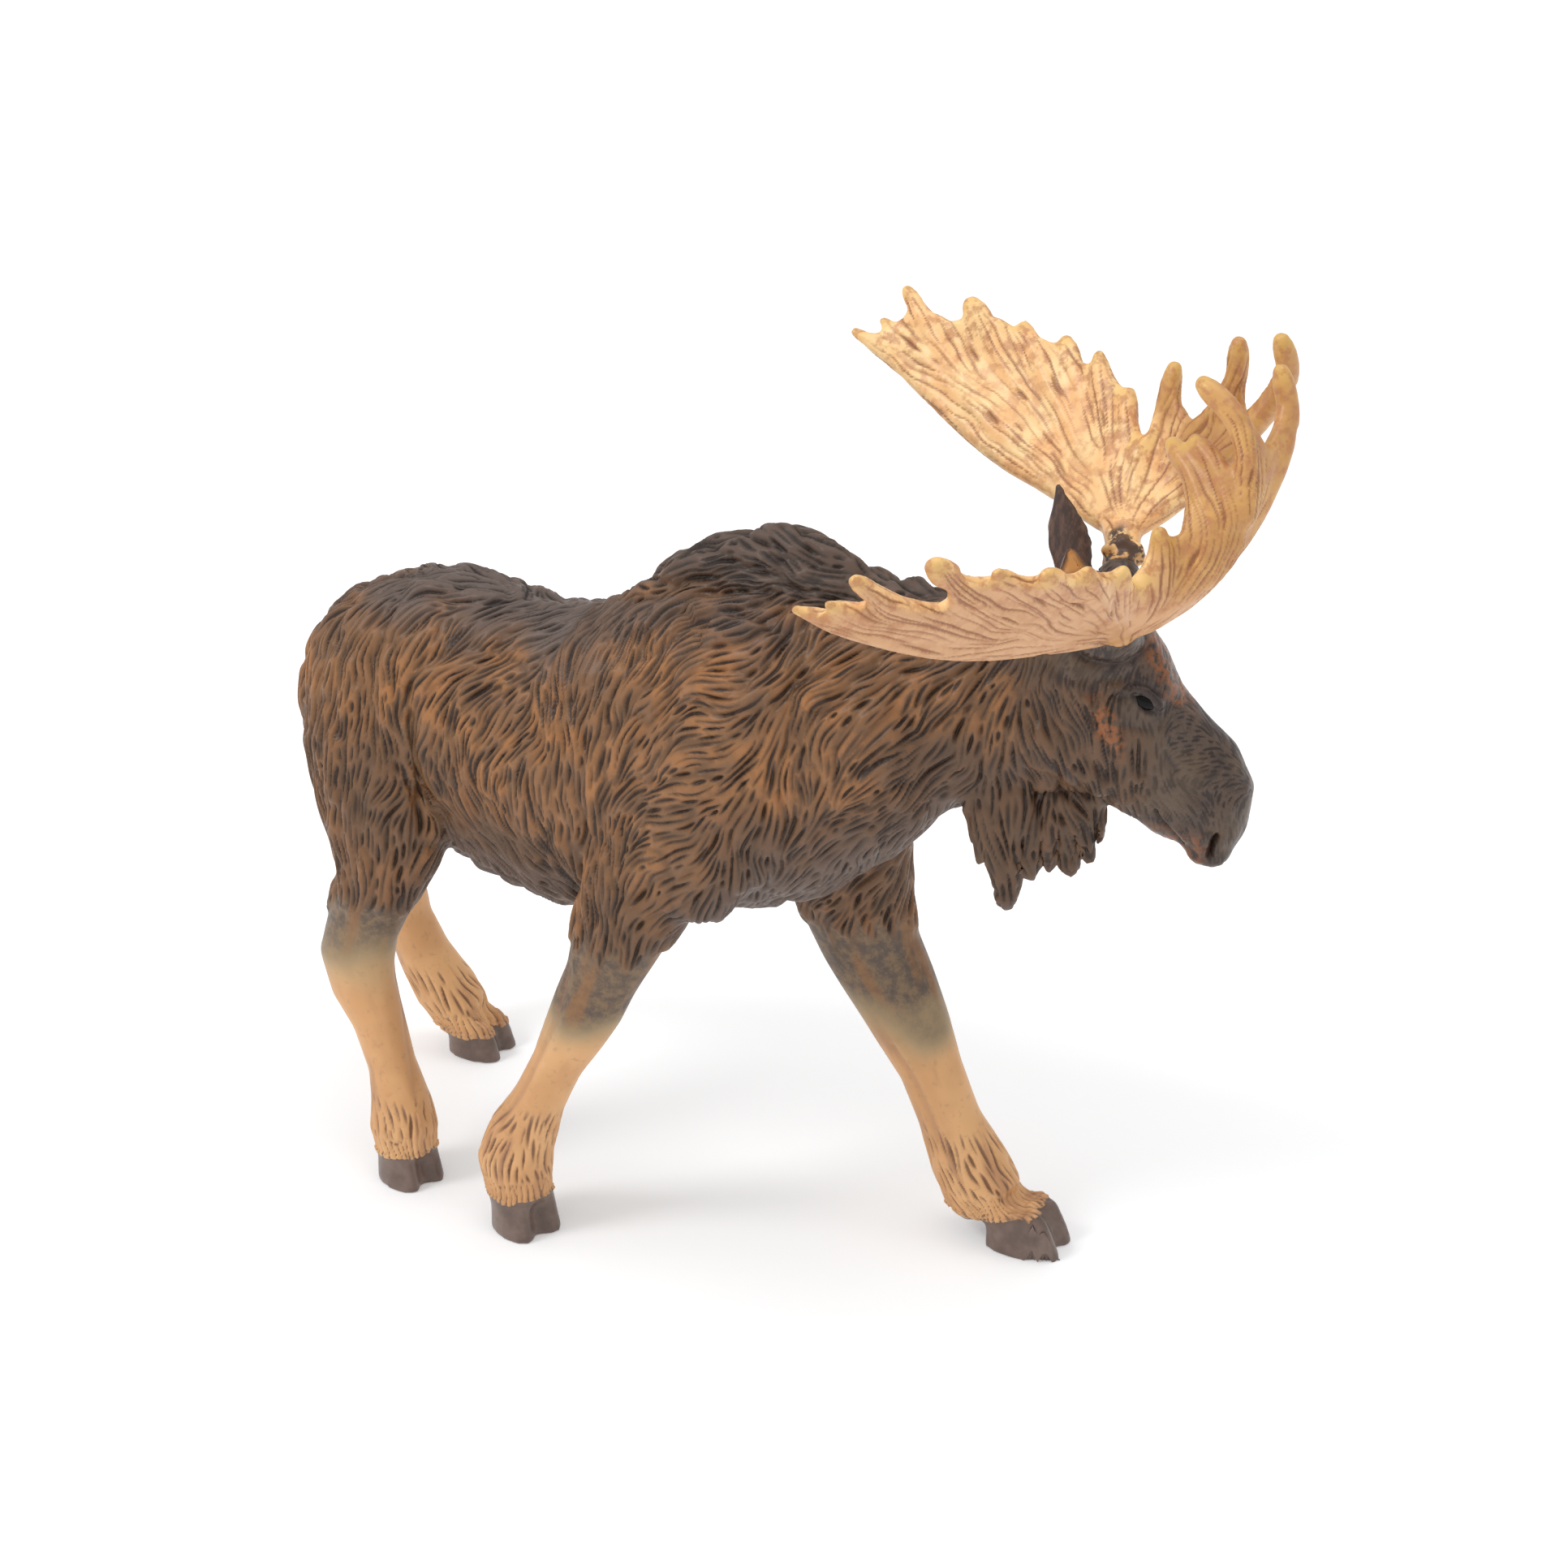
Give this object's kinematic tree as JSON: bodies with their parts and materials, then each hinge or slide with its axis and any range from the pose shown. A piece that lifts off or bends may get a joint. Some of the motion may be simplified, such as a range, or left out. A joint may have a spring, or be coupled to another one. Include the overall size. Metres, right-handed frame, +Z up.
{
  "type": "moose figurine",
  "caption": "Moulded plastic figurine of a walking bull moose with large palmed antlers, painted fur and a flat sole under each hoof.",
  "frame": {"origin": "on the floor, at the middle of the whole figurine's bounding box", "axes": "+X is the way the moose walks, +Y is its left side, +Z is up"},
  "size_m": [0.1508, 0.0909, 0.1391],
  "materials": {
    "fur_paint": "matte, moulded fur with dark grooves and ochre dry brushing",
    "leg_paint": "matte, sprayed from dark grey-brown to tan, with satin dark hooves",
    "antler_paint": "satin cream with carved brown grooves"
  },
  "bodies": {
    "root": {"body": "fur_paint", "head": "fur_paint", "front_leg_right": "leg_paint", "front_leg_left": "leg_paint", "hind_leg_right": "leg_paint", "hind_leg_left": "leg_paint", "antler_right": "antler_paint", "antler_left": "antler_paint"}
  },
  "joints": []
}
